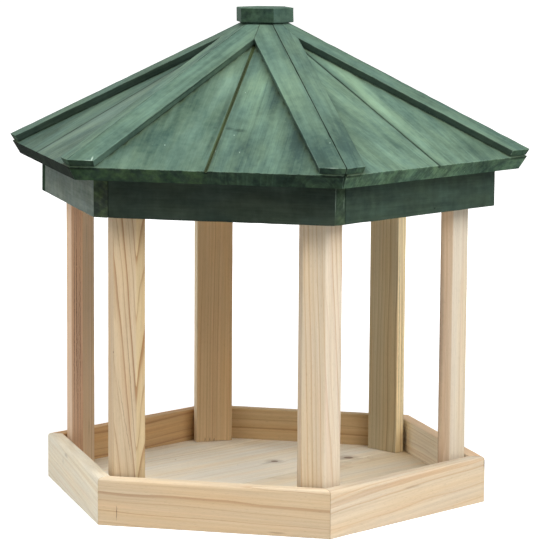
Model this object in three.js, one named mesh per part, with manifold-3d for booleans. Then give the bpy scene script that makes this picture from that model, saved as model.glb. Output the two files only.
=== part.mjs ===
// A hexagonal bird table: a rimmed tray of bare softwood, six posts and a roof of green-stained boards.
// Lengths are millimetres and +Z is up. The origin is the middle of the tray's underside.
// In plan the table is a hexagon whose flats face front (-Y) and rear (+Y), with two corners on the X axis.

import * as THREE from 'three';
import { mergeVertices } from 'three/addons/utils/BufferGeometryUtils.js';
import Module from 'manifold-3d';

const wasm = await Module();
wasm.setup();

// Fits
const jointGap = 0.3;
const cutOverrun = 5;

// Tray: rim boards stand on edge round a floor of three boards, whose second seam lies just past the middle
const trayAcross = 381;
const rimThickness = 14;
const rimHeight = 44;
const rimOuterEase = 3.5;
const rimInnerEase = 1.5;
const floorThickness = 12;
const floorSeamGap = 0.6;
const narrowFloorBoard = 43.5;
const seamPastMiddle = 8.3;

// Posts: two outer faces follow the rim and meet in an arris at the corner
const postWidth = 38;
const postSideDepth = 12;
const postHeight = 288;
const postEase = 1.2;
const postRimClearance = 3.2;

// Rails lie flat on the posts in a mitred ring
const railWidth = 44;
const railThickness = 14;

// Fascia boards hang round the rails and lap at the corners
const fasciaAcross = 389.6;
const fasciaThickness = 12;
const fasciaHeight = 46.8;
const fasciaDrop = 13.6;

// Roof: two boards to a panel, and two strips to a hip
// The eave reaches past the fascia, the boards' tips stop short of the peak, and the strips short of the eave
const slopeDegrees = 29.4;
const eaveReach = 19.5;
const roofBoardThickness = 14;
const boardTipApothem = 7;
const openSeam = 3.5;
const groovedSeam = 1.5;
const fineSeam = 0.7;
const seamShift = 10;
const stripThickness = 6.7;
const stripWidth = 22.5;
const stripSetback = 1.5;

// Cap, whose corners overhang the flat that is cut on the hips for it, and the block under the peak
const capAcross = 49;
const capThickness = 14;
const capEase = 1;
const capOverhang = 4.8;
const blockAcross = 72;
const blockSideHeight = 14;

// Countersunk screws
const screwRadius = 2;
const screwHeadRadius = 4;
const screwHeadHeight = 2.6;
const screwHeadRecess = 0.4;
const screwTipLength = 4;
const postScrewLength = 45;
const capScrewBite = 8;

// How finely curves are drawn
const easeSteps = 3;
const screwSides = 16;

// Sides and corners, anticlockwise from above; left and right ends of a side are as seen from outside
const SIDES = ['front', 'right_front', 'right_rear', 'rear', 'left_rear', 'left_front'];
const CORNERS = ['right', 'rear_right', 'rear_left', 'left', 'front_left', 'front_right'];

// Seam between the two boards of each roof panel
const PANEL_SEAMS = {
  front: { shift: 0, gap: openSeam },
  right_front: { shift: 0, gap: groovedSeam },
  right_rear: { shift: seamShift, gap: fineSeam },
  rear: { shift: 0, gap: groovedSeam },
  left_rear: { shift: 0, gap: fineSeam },
  left_front: { shift: -seamShift, gap: fineSeam },
};

const LOOKS = {
  bareWood: { color: 0xdcc3a0, roughness: 0.75, metalness: 0 },
  stainedWood: { color: 0x4a7361, roughness: 0.65, metalness: 0 },
  zincSteel: { color: 0xb7babd, roughness: 0.4, metalness: 1 },
};

// Sizes that follow from the ones above
const sixth = (2 * Math.PI) / SIDES.length;
const tanHalf = Math.tan(sixth / 2);
const cosHalf = Math.cos(sixth / 2);
const slope = THREE.MathUtils.degToRad(slopeDegrees);
const sinSlope = Math.sin(slope);
const cosSlope = Math.cos(slope);
const tanSlope = Math.tan(slope);
const mitreGap = jointGap / 2 / cosHalf;

const rimOuter = trayAcross / 2;
const rimInner = rimOuter - rimThickness;
const floorApothem = rimInner - jointGap;
const postArrisRadius = (rimInner - postRimClearance) / cosHalf;
const postDepth = postSideDepth + (postWidth / 2) * tanHalf;
const postFoot = floorThickness + jointGap;
const railUnderside = postFoot + postHeight + jointGap;

const fasciaOuter = fasciaAcross / 2;
const fasciaInner = fasciaOuter - fasciaThickness;
const fasciaUnderside = railUnderside - fasciaDrop;
const eaveApothem = fasciaOuter + eaveReach;
const eaveHeight = fasciaUnderside + fasciaHeight + jointGap / cosSlope - eaveReach * tanSlope;
const roofUnderside = (apothem) => eaveHeight + (eaveApothem - apothem) * tanSlope;

const stripUnderside = roofBoardThickness + jointGap;
const stripTop = stripUnderside + stripThickness;
const capSeatApothem = capAcross / 2 - capOverhang * cosHalf;
const capUnderside = roofUnderside(capSeatApothem) + stripTop / cosSlope + jointGap;

const blockApothem = blockAcross / 2;
const blockShoulder = roofUnderside(blockApothem) - jointGap / cosSlope;
const blockUnderside = blockShoulder - blockSideHeight;
const blockTop = roofUnderside(boardTipApothem) - jointGap / cosSlope;
const postScrewRadius = postArrisRadius - postDepth / 2;
const capScrewLength = capUnderside + capScrewBite - blockUnderside - screwHeadRecess;

// A named piece with a material of its own
function piece(name, geometry, look) {
  const mesh = new THREE.Mesh(geometry, new THREE.MeshStandardMaterial(LOOKS[look]));
  mesh.name = name;
  return mesh;
}

// Groups of pieces set round the middle, each turned one sixth further than the last
function setAround(names, makePieces) {
  const ring = new THREE.Group();
  names.forEach((name, index) => {
    const station = new THREE.Group();
    station.rotation.z = index * sixth;
    station.add(...makePieces(name));
    ring.add(station);
  });
  return ring;
}

function hexagon(apothem) {
  const radius = apothem / cosHalf;
  return CORNERS.map((_, index) => {
    const angle = index * sixth;
    return new THREE.Vector2(radius * Math.cos(angle), radius * Math.sin(angle));
  });
}

// The part of a convex outline that lies no further than the limit in the given direction
function clipped(outline, direction, limit) {
  const kept = [];
  outline.forEach((point, index) => {
    const next = outline[(index + 1) % outline.length];
    const inside = limit - direction.dot(point);
    const nextInside = limit - direction.dot(next);
    if (inside >= 0) kept.push(point);
    if (inside * nextInside < 0) {
      kept.push(point.clone().lerp(next, inside / (inside - nextInside)));
    }
  });
  return kept;
}

function plainOutline(corners) {
  return corners.map(([x, y]) => new THREE.Vector2(x, y));
}

// An outline whose corners are rounded; a corner is [x, y, ease], and an ease of zero stays sharp
function easedOutline(corners) {
  const points = plainOutline(corners);
  const outline = [];
  points.forEach((corner, index) => {
    const ease = corners[index][2];
    if (ease === 0) {
      outline.push(corner);
      return;
    }
    const before = points[(index + points.length - 1) % points.length];
    const after = points[(index + 1) % points.length];
    const start = corner.clone().add(before.clone().sub(corner).setLength(ease));
    const end = corner.clone().add(after.clone().sub(corner).setLength(ease));
    outline.push(...new THREE.QuadraticBezierCurve(start, corner, end).getPoints(easeSteps));
  });
  return outline;
}

// Outline raised straight up by a thickness
function raised(outline, thickness) {
  const shape = new THREE.Shape(outline);
  return new THREE.ExtrudeGeometry(shape, { depth: thickness, bevelEnabled: false });
}

// Solid between two matching convex outlines, which run anticlockwise seen from the last one
function solidBetween(first, last) {
  const count = first.length;
  const faces = [];
  for (let i = 0; i < count; i += 1) {
    const next = (i + 1) % count;
    faces.push(i, next, count + next, i, count + next, count + i);
  }
  for (let i = 1; i < count - 1; i += 1) {
    faces.push(0, i + 1, i, count, count + i, count + i + 1);
  }
  const shared = new THREE.BufferGeometry().setFromPoints([...first, ...last]);
  shared.setIndex(faces);
  const geometry = shared.toNonIndexed();
  geometry.computeVertexNormals();
  return geometry;
}

// Board of a side: its section is (distance out, height), and each end's place depends on the distance out
function boardAlongSide(section, leftEnd, rightEnd) {
  const endOutline = (end) => section.map((point) => new THREE.Vector3(end(point.x), -point.x, point.y));
  return solidBetween(endOutline(rightEnd), endOutline(leftEnd));
}

// Board of a side with both ends mitred against its neighbours
function mitredBoard(section) {
  const mitre = (out) => out * tanHalf - mitreGap;
  return boardAlongSide(section, (out) => -mitre(out), mitre);
}

// Profile of (radius, height) turned about the vertical axis; corners fall where the hexagon's do
function turned(profile, sides) {
  const geometry = new THREE.LatheGeometry(plainOutline(profile), sides, sixth / 2);
  geometry.rotateX(Math.PI / 2);
  return geometry;
}

function toManifold(geometry) {
  const bare = geometry.clone();
  bare.deleteAttribute('normal');
  bare.deleteAttribute('uv');
  const merged = mergeVertices(bare);
  return new wasm.Manifold(
    new wasm.Mesh({
      numProp: 3,
      vertProperties: merged.getAttribute('position').array,
      triVerts: new Uint32Array(merged.index.array),
    }),
  );
}

function fromManifold(solid) {
  const mesh = solid.getMesh();
  const shared = new THREE.BufferGeometry();
  shared.setAttribute('position', new THREE.BufferAttribute(mesh.vertProperties, mesh.numProp));
  shared.setIndex(new THREE.BufferAttribute(mesh.triVerts, 1));
  const geometry = shared.toNonIndexed();
  geometry.computeVertexNormals();
  return geometry;
}

function drilled(geometry, cutters) {
  const whole = toManifold(geometry);
  return fromManifold(cutters.reduce((left, cutter) => left.subtract(toManifold(cutter)), whole));
}

// Countersunk screw with its head at the bottom, head face at height zero
function screw(length) {
  return turned(
    [
      [0, 0],
      [screwHeadRadius, 0],
      [screwRadius, screwHeadHeight],
      [screwRadius, length - screwTipLength],
      [0, length],
    ],
    screwSides,
  );
}

// Hole for that screw, the joint gap wider all round and open below the head
function screwHole(length) {
  return turned(
    [
      [0, -cutOverrun],
      [screwHeadRadius + jointGap, -cutOverrun],
      [screwHeadRadius + jointGap, 0],
      [screwRadius + jointGap, screwHeadHeight],
      [screwRadius + jointGap, length],
      [0, length + jointGap],
    ],
    screwSides,
  );
}

// Holes for the post screws, one below each corner
function postScrewHoles() {
  return CORNERS.map((_, index) => {
    const hole = screwHole(postScrewLength);
    hole.translate(postScrewRadius, 0, screwHeadRecess);
    return hole.rotateZ(index * sixth);
  });
}

// The boards run along the sides that face right_front and left_rear, so the floor is turned by a sixth
function trayFloor() {
  const floor = new THREE.Group();
  const across = new THREE.Vector2(0, 1);
  const firstSeam = floorApothem - narrowFloorBoard;
  const secondSeam = -seamPastMiddle;
  const bands = [
    ['floor_board_left', firstSeam, floorApothem],
    ['floor_board_middle', secondSeam, firstSeam],
    ['floor_board_right', -floorApothem, secondSeam],
  ];
  bands.forEach(([name, low, high]) => {
    const belowHigh = clipped(hexagon(floorApothem), across, high - floorSeamGap / 2);
    const outline = clipped(belowHigh, across.clone().negate(), -low - floorSeamGap / 2);
    floor.add(piece(name, drilled(raised(outline, floorThickness), postScrewHoles()), 'bareWood'));
  });
  floor.rotation.z = sixth;
  return floor;
}

function rimBoard(side) {
  const section = easedOutline([
    [rimInner, 0, 0],
    [rimOuter, 0, 0],
    [rimOuter, rimHeight, rimOuterEase],
    [rimInner, rimHeight, rimInnerEase],
  ]);
  return [piece(`rim_board_${side}`, mitredBoard(section), 'bareWood')];
}

// Section in the corner's frame, with the arris pointing out along +X
function post(corner) {
  const halfWidth = postWidth / 2;
  const inner = -postDepth;
  const shoulder = inner + postSideDepth;
  const section = easedOutline([
    [0, 0, postEase],
    [shoulder, halfWidth, postEase],
    [inner, halfWidth, postEase],
    [inner, -halfWidth, postEase],
    [shoulder, -halfWidth, postEase],
  ]);
  const pilot = screwHole(postScrewLength);
  pilot.translate(postScrewRadius - postArrisRadius, 0, screwHeadRecess - postFoot);
  const upright = piece(`post_${corner}`, drilled(raised(section, postHeight), [pilot]), 'bareWood');
  upright.position.set(postArrisRadius, 0, postFoot);
  return [upright];
}

function postScrew(corner) {
  const fixing = piece(`post_screw_${corner}`, screw(postScrewLength), 'zincSteel');
  fixing.position.set(postScrewRadius, 0, screwHeadRecess);
  return [fixing];
}

function topRail(side) {
  const outer = fasciaInner - jointGap;
  const inner = outer - railWidth;
  const section = plainOutline([
    [inner, railUnderside],
    [outer, railUnderside],
    [outer, railUnderside + railThickness],
    [inner, railUnderside + railThickness],
  ]);
  return [piece(`top_rail_${side}`, mitredBoard(section), 'bareWood')];
}

// The right end runs through to the next board's face, and the left end butts against the last board's back
function fasciaBoard(side) {
  const section = plainOutline([
    [fasciaInner, fasciaUnderside],
    [fasciaOuter, fasciaUnderside],
    [fasciaOuter, fasciaUnderside + fasciaHeight],
    [fasciaInner, fasciaUnderside + fasciaHeight],
  ]);
  const reach = (apothem, out) => (apothem - out * Math.cos(sixth)) / Math.sin(sixth);
  const leftEnd = (out) => -reach(fasciaInner - jointGap, out);
  const rightEnd = (out) => reach(fasciaOuter, out);
  return [piece(`fascia_board_${side}`, boardAlongSide(section, leftEnd, rightEnd), 'stainedWood')];
}

// Triangle between two hips at a height above a panel's underside: x runs along the eave and y up the slope
function panelOutline(height) {
  const halfEave = (eaveApothem + height * sinSlope) * tanHalf - mitreGap;
  return [
    new THREE.Vector2(-halfEave, 0),
    new THREE.Vector2(halfEave, 0),
    new THREE.Vector2(0, halfEave / tanHalf / cosSlope),
  ];
}

// Boards are cut square, so their outline is the same right through
function roofBoards(side) {
  const seam = PANEL_SEAMS[side];
  const right = new THREE.Vector2(1, 0);
  const up = new THREE.Vector2(0, 1);
  const skin = clipped(panelOutline(0), up, (eaveApothem - boardTipApothem) / cosSlope);
  const leftBoard = clipped(skin, right, seam.shift - seam.gap / 2);
  const rightBoard = clipped(skin, right.clone().negate(), -seam.shift - seam.gap / 2);
  return [
    piece(`roof_board_${side}_left`, raised(leftBoard, roofBoardThickness), 'stainedWood'),
    piece(`roof_board_${side}_right`, raised(rightBoard, roofBoardThickness), 'stainedWood'),
  ];
}

// Strip at a panel's right hip: mitred along the hip, on the panel's middle line and flat below the cap
function hipStripGeometry() {
  const towardsHip = new THREE.Vector2(1, tanHalf * cosSlope).normalize();
  const down = new THREE.Vector2(0, -1);
  const left = new THREE.Vector2(-1, 0);
  const hipLine = towardsHip.dot(panelOutline(stripTop)[1]);
  const outlineAt = (height) => {
    const underCap = (capUnderside - jointGap - eaveHeight - height * cosSlope) / sinSlope;
    let outline = panelOutline(height);
    outline = clipped(outline, down, -stripSetback);
    outline = clipped(outline, left, -jointGap / 2);
    outline = clipped(outline, towardsHip.clone().negate(), stripWidth - hipLine);
    outline = clipped(outline, down.clone().negate(), underCap);
    return outline.map((point) => new THREE.Vector3(point.x, point.y, height));
  };
  return solidBetween(outlineAt(stripUnderside), outlineAt(stripTop));
}

function hipStrips(side) {
  const leftStrip = piece(`hip_strip_${side}_left`, hipStripGeometry(), 'stainedWood');
  leftStrip.scale.x = -1;
  return [leftStrip, piece(`hip_strip_${side}_right`, hipStripGeometry(), 'stainedWood')];
}

// One sixth of the roof, laid flat in its own frame and tilted up from the eave
function roofPanel(side) {
  const panel = new THREE.Group();
  panel.position.set(0, -eaveApothem, eaveHeight);
  panel.rotation.x = slope;
  panel.add(...roofBoards(side), ...hipStrips(side));
  return [panel];
}

function capScrewHole() {
  const hole = screwHole(capScrewLength);
  hole.translate(0, 0, blockUnderside + screwHeadRecess);
  return hole;
}

function peakBlock() {
  const geometry = turned(
    [
      [0, blockUnderside],
      [blockApothem / cosHalf, blockUnderside],
      [blockApothem / cosHalf, blockShoulder],
      [boardTipApothem / cosHalf, blockTop],
      [0, blockTop],
    ],
    SIDES.length,
  );
  return piece('peak_block', drilled(geometry, [capScrewHole()]), 'bareWood');
}

function cap() {
  const geometry = new THREE.ExtrudeGeometry(new THREE.Shape(hexagon(capAcross / 2)), {
    depth: capThickness - 2 * capEase,
    bevelThickness: capEase,
    bevelSize: capEase,
    bevelOffset: -capEase,
    bevelSegments: easeSteps,
  });
  geometry.translate(0, 0, capUnderside + capEase);
  return piece('cap', drilled(geometry, [capScrewHole()]), 'stainedWood');
}

function capScrew() {
  const fixing = piece('cap_screw', screw(capScrewLength), 'zincSteel');
  fixing.position.z = blockUnderside + screwHeadRecess;
  return fixing;
}

const tray = new THREE.Group();
tray.add(trayFloor(), setAround(SIDES, rimBoard));

const frame = new THREE.Group();
frame.add(setAround(CORNERS, post), setAround(CORNERS, postScrew), setAround(SIDES, topRail));

const roof = new THREE.Group();
roof.add(setAround(SIDES, fasciaBoard), setAround(SIDES, roofPanel), peakBlock(), cap(), capScrew());

const birdTable = new THREE.Group();
birdTable.add(tray, frame, roof);

export default birdTable;
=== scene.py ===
from collections import namedtuple
from math import copysign, cos, exp, pi, radians, sin, tan

import bmesh
import bpy
from mathutils import Euler, Matrix, Vector, noise


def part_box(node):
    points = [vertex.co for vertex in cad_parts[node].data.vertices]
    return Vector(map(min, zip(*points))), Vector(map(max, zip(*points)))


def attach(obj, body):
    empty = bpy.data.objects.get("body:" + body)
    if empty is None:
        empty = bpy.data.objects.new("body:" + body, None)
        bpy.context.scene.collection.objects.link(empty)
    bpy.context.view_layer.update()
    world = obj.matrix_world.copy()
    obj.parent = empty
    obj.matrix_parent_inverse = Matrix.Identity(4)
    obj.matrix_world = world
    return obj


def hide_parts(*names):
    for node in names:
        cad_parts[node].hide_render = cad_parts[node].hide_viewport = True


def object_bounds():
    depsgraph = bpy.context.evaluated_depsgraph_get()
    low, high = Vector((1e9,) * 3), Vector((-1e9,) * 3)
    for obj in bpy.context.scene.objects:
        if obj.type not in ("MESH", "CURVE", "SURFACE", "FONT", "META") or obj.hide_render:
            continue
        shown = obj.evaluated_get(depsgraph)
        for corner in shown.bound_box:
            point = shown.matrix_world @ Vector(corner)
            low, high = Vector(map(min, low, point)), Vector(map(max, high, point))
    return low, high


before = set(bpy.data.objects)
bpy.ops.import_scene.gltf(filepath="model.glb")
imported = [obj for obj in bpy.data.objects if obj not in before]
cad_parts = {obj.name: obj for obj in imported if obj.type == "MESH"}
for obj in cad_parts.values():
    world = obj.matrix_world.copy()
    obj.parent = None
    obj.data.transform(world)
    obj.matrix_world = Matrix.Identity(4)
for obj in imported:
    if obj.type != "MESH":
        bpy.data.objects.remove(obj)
cad_low, cad_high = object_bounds()

MM = 0.001
UP = Vector((0, 0, 1))
TAN_HALF = tan(radians(30))

# Without a seed of its own, the vector noise differs from run to run
NOISE_SEED = 7
noise.seed_set(NOISE_SEED)

# Plan angles of the outward normals of the six sides, and of the six corners
SIDES = {"right_rear": 30, "rear": 90, "left_rear": 150, "left_front": 210, "front": 270, "right_front": 330}
CORNERS = {"right": 0, "rear_right": 60, "rear_left": 120, "left": 180, "front_left": 240, "front_right": 300}

# Places of the roof panels, in mm, as the CAD has them
ROOF_SLOPE = radians(29.4)
EAVE_APOTHEM = 214.3
EAVE_HEIGHT = 323.16
ROOF_BOARD_THICKNESS = 14
SEAM_SHIFT = {"right_rear": 10, "left_front": -10}

# The plan angle of the floor's grain, in degrees
FLOOR_GRAIN = 60
# How far a roof board's grain leans from straight up the slope, in degrees
ROOF_LEAN = {
    "roof_board_front_left": 1,
    "roof_board_front_right": -1,
    "roof_board_right_front_left": -3,
    "roof_board_right_front_right": 2,
    "roof_board_left_front_left": -2,
    "roof_board_left_front_right": 3,
}


# Directions and places on the object
def plan(degrees):
    """The level direction at this plan angle."""
    return Vector((cos(radians(degrees)), sin(radians(degrees)), 0))


def side_axes(side):
    """Unit vectors along a side, left to right from outside, and out of it."""
    outward = plan(SIDES[side])
    along = Vector((-outward.y, outward.x, 0))
    return along, outward


def panel_axes(side):
    """A roof panel's eave point in mm, and unit vectors along the eave, up the slope and out of it."""
    along, outward = side_axes(side)
    eave = outward * EAVE_APOTHEM + UP * EAVE_HEIGHT
    climb = UP * sin(ROOF_SLOPE) - outward * cos(ROOF_SLOPE)
    lift = UP * cos(ROOF_SLOPE) + outward * sin(ROOF_SLOPE)
    return eave, along, climb, lift


def panel_point(side, u, w, height=0):
    """A point over a roof panel, in mm: u along the eave, w up the slope."""
    eave, along, climb, lift = panel_axes(side)
    return eave + along * u + climb * w + lift * (ROOF_BOARD_THICKNESS + height)


def wall_point(side, u, height, apothem):
    """A point on an upright face, in mm: u along the side."""
    along, outward = side_axes(side)
    return outward * apothem + along * u + UP * height


def roof_side(node):
    """The side that a roof board or hip strip lies on, or None."""
    for prefix in ("roof_board_", "hip_strip_"):
        if node.startswith(prefix):
            return node[len(prefix):].rsplit("_", 1)[0]
    return None


def board_grain(node):
    """Middle of a board in mm, and its axes: along the grain, across the face, out of the face."""
    low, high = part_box(node)
    middle = (low + high) / 2 / MM
    if node.startswith(("rim_board_", "fascia_board_", "top_rail_")):
        along, outward = side_axes(node.split("_", 2)[2])
        if node.startswith("top_rail_"):
            return middle, along, outward, UP
        return middle, along, UP, outward
    if node.startswith("post_"):
        outward = plan(CORNERS[node.split("_", 1)[1]])
        return middle, UP, UP.cross(outward), outward
    if node.startswith("floor_board_"):
        along = plan(FLOOR_GRAIN)
        return middle, along, UP.cross(along), UP
    if node.startswith("roof_board_"):
        eave, along, climb, lift = panel_axes(roof_side(node))
        lean = radians(ROOF_LEAN.get(node, 0))
        leaning = climb * cos(lean) + along * sin(lean)
        return eave + lift * ROOF_BOARD_THICKNESS, leaning, lift.cross(leaning), lift
    if node.startswith("hip_strip_"):
        _, along, climb, lift = panel_axes(roof_side(node))
        slope_length = EAVE_APOTHEM / cos(ROOF_SLOPE)
        half_eave = EAVE_APOTHEM * TAN_HALF
        sign = -1 if node.endswith("_left") else 1
        hip = (climb * slope_length - along * sign * half_eave).normalized()
        return middle, hip, lift.cross(hip), lift
    if node == "cap":
        return middle, Vector((0, 1, 0)), Vector((-1, 0, 0)), UP
    return middle, Vector((1, 0, 0)), Vector((0, 1, 0)), UP


# The looks of the boards
def linear(red, green, blue):
    """An sRGB colour of 0 to 255 as linear light."""
    values = []
    for value in (red, green, blue):
        share = value / 255
        low = share / 12.92
        high = ((share + 0.055) / 1.055) ** 2.4
        values.append(low if share <= 0.04045 else high)
    return tuple(values)


# What one board's grain looks like: sRGB colours, the pith's place and the rings' spacing in mm. The end
# grain's level and the edges' lightening are partly painted light, and the sides' shade is painted shade
Look = namedtuple(
    "Look",
    "early late pith spacing contrast tilt worn end_shade side_shade olive",
    defaults=((0, -30), 4.0, 0.6, (0, 0), 0.3, 0.7, 1.0, 0.3),
)


def strip_look(early, late, worn=0.3, end_shade=0.4, side_shade=0.5):
    """The look of a hip strip, whose grain is like that of the others, and whose inner wall gets a painted
    shade.
    """
    return Look(early, late, (30, -20), 8, 0.4, (0.01, 0), worn, end_shade, side_shade)


def fascia_look(early, late, pith_across, tilt, worn, end_shade, contrast=0.4, olive=0.3):
    """The look of a fascia board."""
    return Look(early, late, (pith_across, -30), 6, contrast, (tilt, 0), worn, end_shade, olive=olive)


# A board takes the look with the longest name that its own name starts with
LOOKS = {
    "rim_board_front": Look((199, 179, 150), (167, 135, 103), (-120, -34), 8, 0.8, (0.02, 0)),
    "rim_board_right_front": Look((210, 194, 170), (189, 157, 125), (62, -60), 9, 0.8, (-0.05, 0)),
    "rim_board_left_front": Look((224, 217, 199), (204, 191, 164), (48, -30), 8, 0.5, (0.06, 0)),
    "rim_board_right_rear": Look((222, 196, 164), (190, 154, 119), (-50, -20), 7, 0.6),
    "rim_board_rear": Look((205, 177, 135), (167, 132, 91), (46, -28), 9, 0.8, (0.01, 0.01)),
    "rim_board_left_rear": Look((201, 167, 123), (162, 119, 81), (40, -22), 9, 0.8, (0.02, 0.01)),
    "floor_board_left": Look((238, 232, 218), (218, 205, 180), (20, -34), 7, 0.6, (0.02, 0.01)),
    "floor_board_middle": Look((240, 233, 218), (222, 207, 180), (-30, -26), 9, 0.7, (0.03, 0.02)),
    "floor_board_right": Look((233, 221, 199), (211, 192, 160), (34, -60), 7, 0.5, (0.02, 0)),
    "post_left": Look((207, 175, 147), (147, 106, 78), (-26, 3), 4, 0.7, (0.004, 0)),
    "post_front_left": Look((199, 180, 151), (147, 108, 72), (-24, -9), 3.0, 0.9, (0.05, 0.01)),
    "post_front_right": Look((205, 191, 169), (174, 135, 102), (-26, -14), 3.6, 0.8, (0.035, 0.01)),
    "post_right": Look((202, 186, 165), (172, 142, 119), (22, -10), 3.2, 0.35, (0, 0.01)),
    "post_rear_right": Look((198, 185, 154), (150, 130, 101), (-24, -22), 4, 0.8, (0.01, 0.01)),
    "post_rear_left": Look((209, 181, 142), (168, 134, 94), (-40, 8), 3.0, 0.6, (0.01, 0)),
    "top_rail": Look((214, 190, 154), (180, 146, 106), (10, -40), 5, 0.7, (0.01, 0)),
    "peak_block": Look((214, 190, 154), (180, 146, 106), (10, -40), 5, 0.7, (0.01, 0)),
    # The fascia boards differ per side partly as painted light: the left one lighter and greyer, a painted
    # sheen
    "fascia_board": fascia_look((48, 68, 54), (26, 40, 31), -50, 0.02, 0.15, 0.9, contrast=0.6),
    "fascia_board_front": fascia_look((54, 64, 55), (30, 40, 33), -60, 0.01, 0.0, 1.75),
    "fascia_board_right_front": fascia_look((64, 81, 68), (38, 50, 44), -60, 0.02, 0.05, 0.6),
    "fascia_board_left_front": fascia_look((111, 120, 112), (64, 78, 67), 50, 0.02, 0.05, 0.38, olive=0.75),
    # The roof boards and strips differ per side partly as painted light: the right panel's boards lighter, a
    # painted sheen, and the left hip strip darker, a painted shade
    "roof_board": Look((100, 128, 109), (59, 82, 73), (40, -40), 9, 0.4, (0.03, 0.02), 0.3, 0.8),
    "roof_board_front_left": Look(
        (111, 136, 118), (64, 88, 78), (60, -30), 3, 0.12, (0, 0.02), 0.3, 0.27, olive=0.7
    ),
    "roof_board_front_right": Look((110, 137, 118), (65, 86, 79), (-100, -16), 5, 0.5, (0, 0.02), 0.3, 0.25),
    "roof_board_left_front": Look((100, 124, 109), (64, 83, 74), (40, -40), 5, 0.3, (0.03, 0.02), 0.3, 0.09),
    "roof_board_left_front_right": Look(
        (111, 132, 118), (70, 90, 81), (40, -40), 5, 0.3, (0.03, 0.02), 0.3, 0.09
    ),
    "roof_board_right_front": Look(
        (121, 149, 128), (73, 96, 86), (-110, -50), 3, 0.3, (0.02, 0.02), 0.3, 0.52
    ),
    "hip_strip": strip_look((113, 140, 121), (68, 90, 82)),
    "hip_strip_right_front_right": strip_look((112, 139, 120), (67, 90, 81), side_shade=0.3),
    "hip_strip_left_front_left": strip_look((104, 128, 111), (62, 83, 74), worn=0.2, side_shade=0.33),
    "hip_strip_front_left": strip_look((112, 139, 120), (67, 89, 80), 0.2, 0.2, 0.62),
    "cap": Look((82, 104, 94), (45, 63, 55), (14, -30), 5, 0.1, (0, 0), 0.1, 0.62),
}

# Lighter (+) and darker (-) patches of the stain, and a painted shadow along the right hip strip: centre on
# the face in mm from the middle of the side and up the slope, reach along and across the grain in mm, and how
# much
ROOF_TONES = {
    "roof_board_front_left": (
        ((-14, 135), 60, 9, 0.45),
        ((-34, 110), 40, 12, -0.1),
        ((-70, 45), 26, 24, -0.3),
        ((-26, 60), 30, 10, 0.25),
    ),
    "roof_board_front_right": (
        ((18, 140), 52, 9, 0.6),
        ((33, 84), 9, 11, 0.2),
        ((45, 62), 34, 5, 0.4),
        ((26, 40), 26, 9, -0.1),
        # These two darker patches along the right hip strip are a painted shadow of the strip
        ((76, 45), 40, 10, -0.5),
        ((40, 130), 60, 7, -0.4),
    ),
    "roof_board_right_front_left": (
        ((-42, 105), 46, 10, -0.35),
        ((-62, 50), 30, 8, -0.25),
        ((-46, 26), 26, 10, 0.35),
        ((-12, 90), 60, 12, 0.15),
    ),
    "roof_board_right_front_right": (
        ((16, 110), 80, 7, 0.7),
        ((70, 16), 20, 26, -0.35),
    ),
    "roof_board_left_front_left": (
        ((-45, 90), 40, 10, 0.3),
        ((-78, 22), 34, 30, -0.25),
    ),
    "roof_board_left_front_right": (
        ((20, 100), 46, 12, 0.15),
        ((40, 30), 30, 14, -0.2),
        ((82, 16), 20, 24, -0.3),
        ((10, 60), 50, 7, 0.25),
    ),
    "hip_strip_front_right": (
        ((100, 20), 40, 20, -0.4),
        ((46, 120), 50, 20, 0.35),
    ),
    "hip_strip_right_front_left": (((-90, 36), 40, 20, -0.3),),
}

# Painted light and shade: how much lighter or darker each face of a piece is painted, its top or the face at
# a plan angle, mostly for the light that falls on it and partly for the wood's own difference between faces
PAINTED_FACE_LIGHT = {
    # The rims' tops are painted lighter for the light from above
    "rim_board_front": {"top": (1.3, 1.4, 1.55), 270: (1, 1, 1)},
    "rim_board_right_front": {"top": (1.0, 1.06, 1.14), 330: (1, 1, 1)},
    # The right rear rim's inner face is painted lighter for the light bounced off the floor
    "rim_board_right_rear": {210: (1.3, 1.58, 1.95), "top": (1, 1, 1)},
    # The posts' faces are painted lighter or darker for the light each one gets
    "post_front_left": {210: (1, 0.98, 0.95), 270: (1, 1, 1), 330: (1.06, 1.06, 0.95)},
    "post_front_right": {210: (1, 1, 1), 270: (0.97, 0.96, 0.93), 330: (1.06, 1.08, 1.13)},
    "post_left": {210: (1.12, 1.22, 1.3), 270: (0.82, 0.76, 0.71), 0: (1, 1.1, 1.1)},
    "post_right": {270: (1.0, 0.93, 0.87), 330: (1.06, 1.13, 1.18)},
    "post_rear_right": {240: (1, 1, 1), 330: (1.54, 1.52, 1.45)},
    "post_rear_left": {300: (1, 1, 1), 210: (1.18, 1.38, 1.65)},
    # The cap's top is painted lighter, a painted sheen
    "cap": {"top": (1.3, 1.35, 1.2), 270: (1, 1, 1), 330: (1.1, 1.13, 1.1), 210: (1, 1, 1)},
}
TINT_FOCUS = 6
LEAST_FACING = 0.05


def painted_face_light(node, normal):
    """The painted light and shade of a board where it looks this way, blended from one face to the next."""
    tints = PAINTED_FACE_LIGHT.get(node, {})
    directions = [UP if place == "top" else plan(place) for place in tints]
    shares = [max(0.0, normal.dot(direction)) ** TINT_FOCUS for direction in directions]
    total = sum(shares)
    if total < LEAST_FACING:
        return (1.0, 1.0, 1.0)
    mixed = Vector((0, 0, 0))
    for share, tint in zip(shares, tints.values()):
        mixed += Vector(tint) * (share / total)
    return tuple(mixed)


def look_of(node):
    """The look with the longest name that the node's name starts with."""
    names = [name for name in LOOKS if node.startswith(name)]
    return LOOKS[max(names, key=len)]


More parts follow.
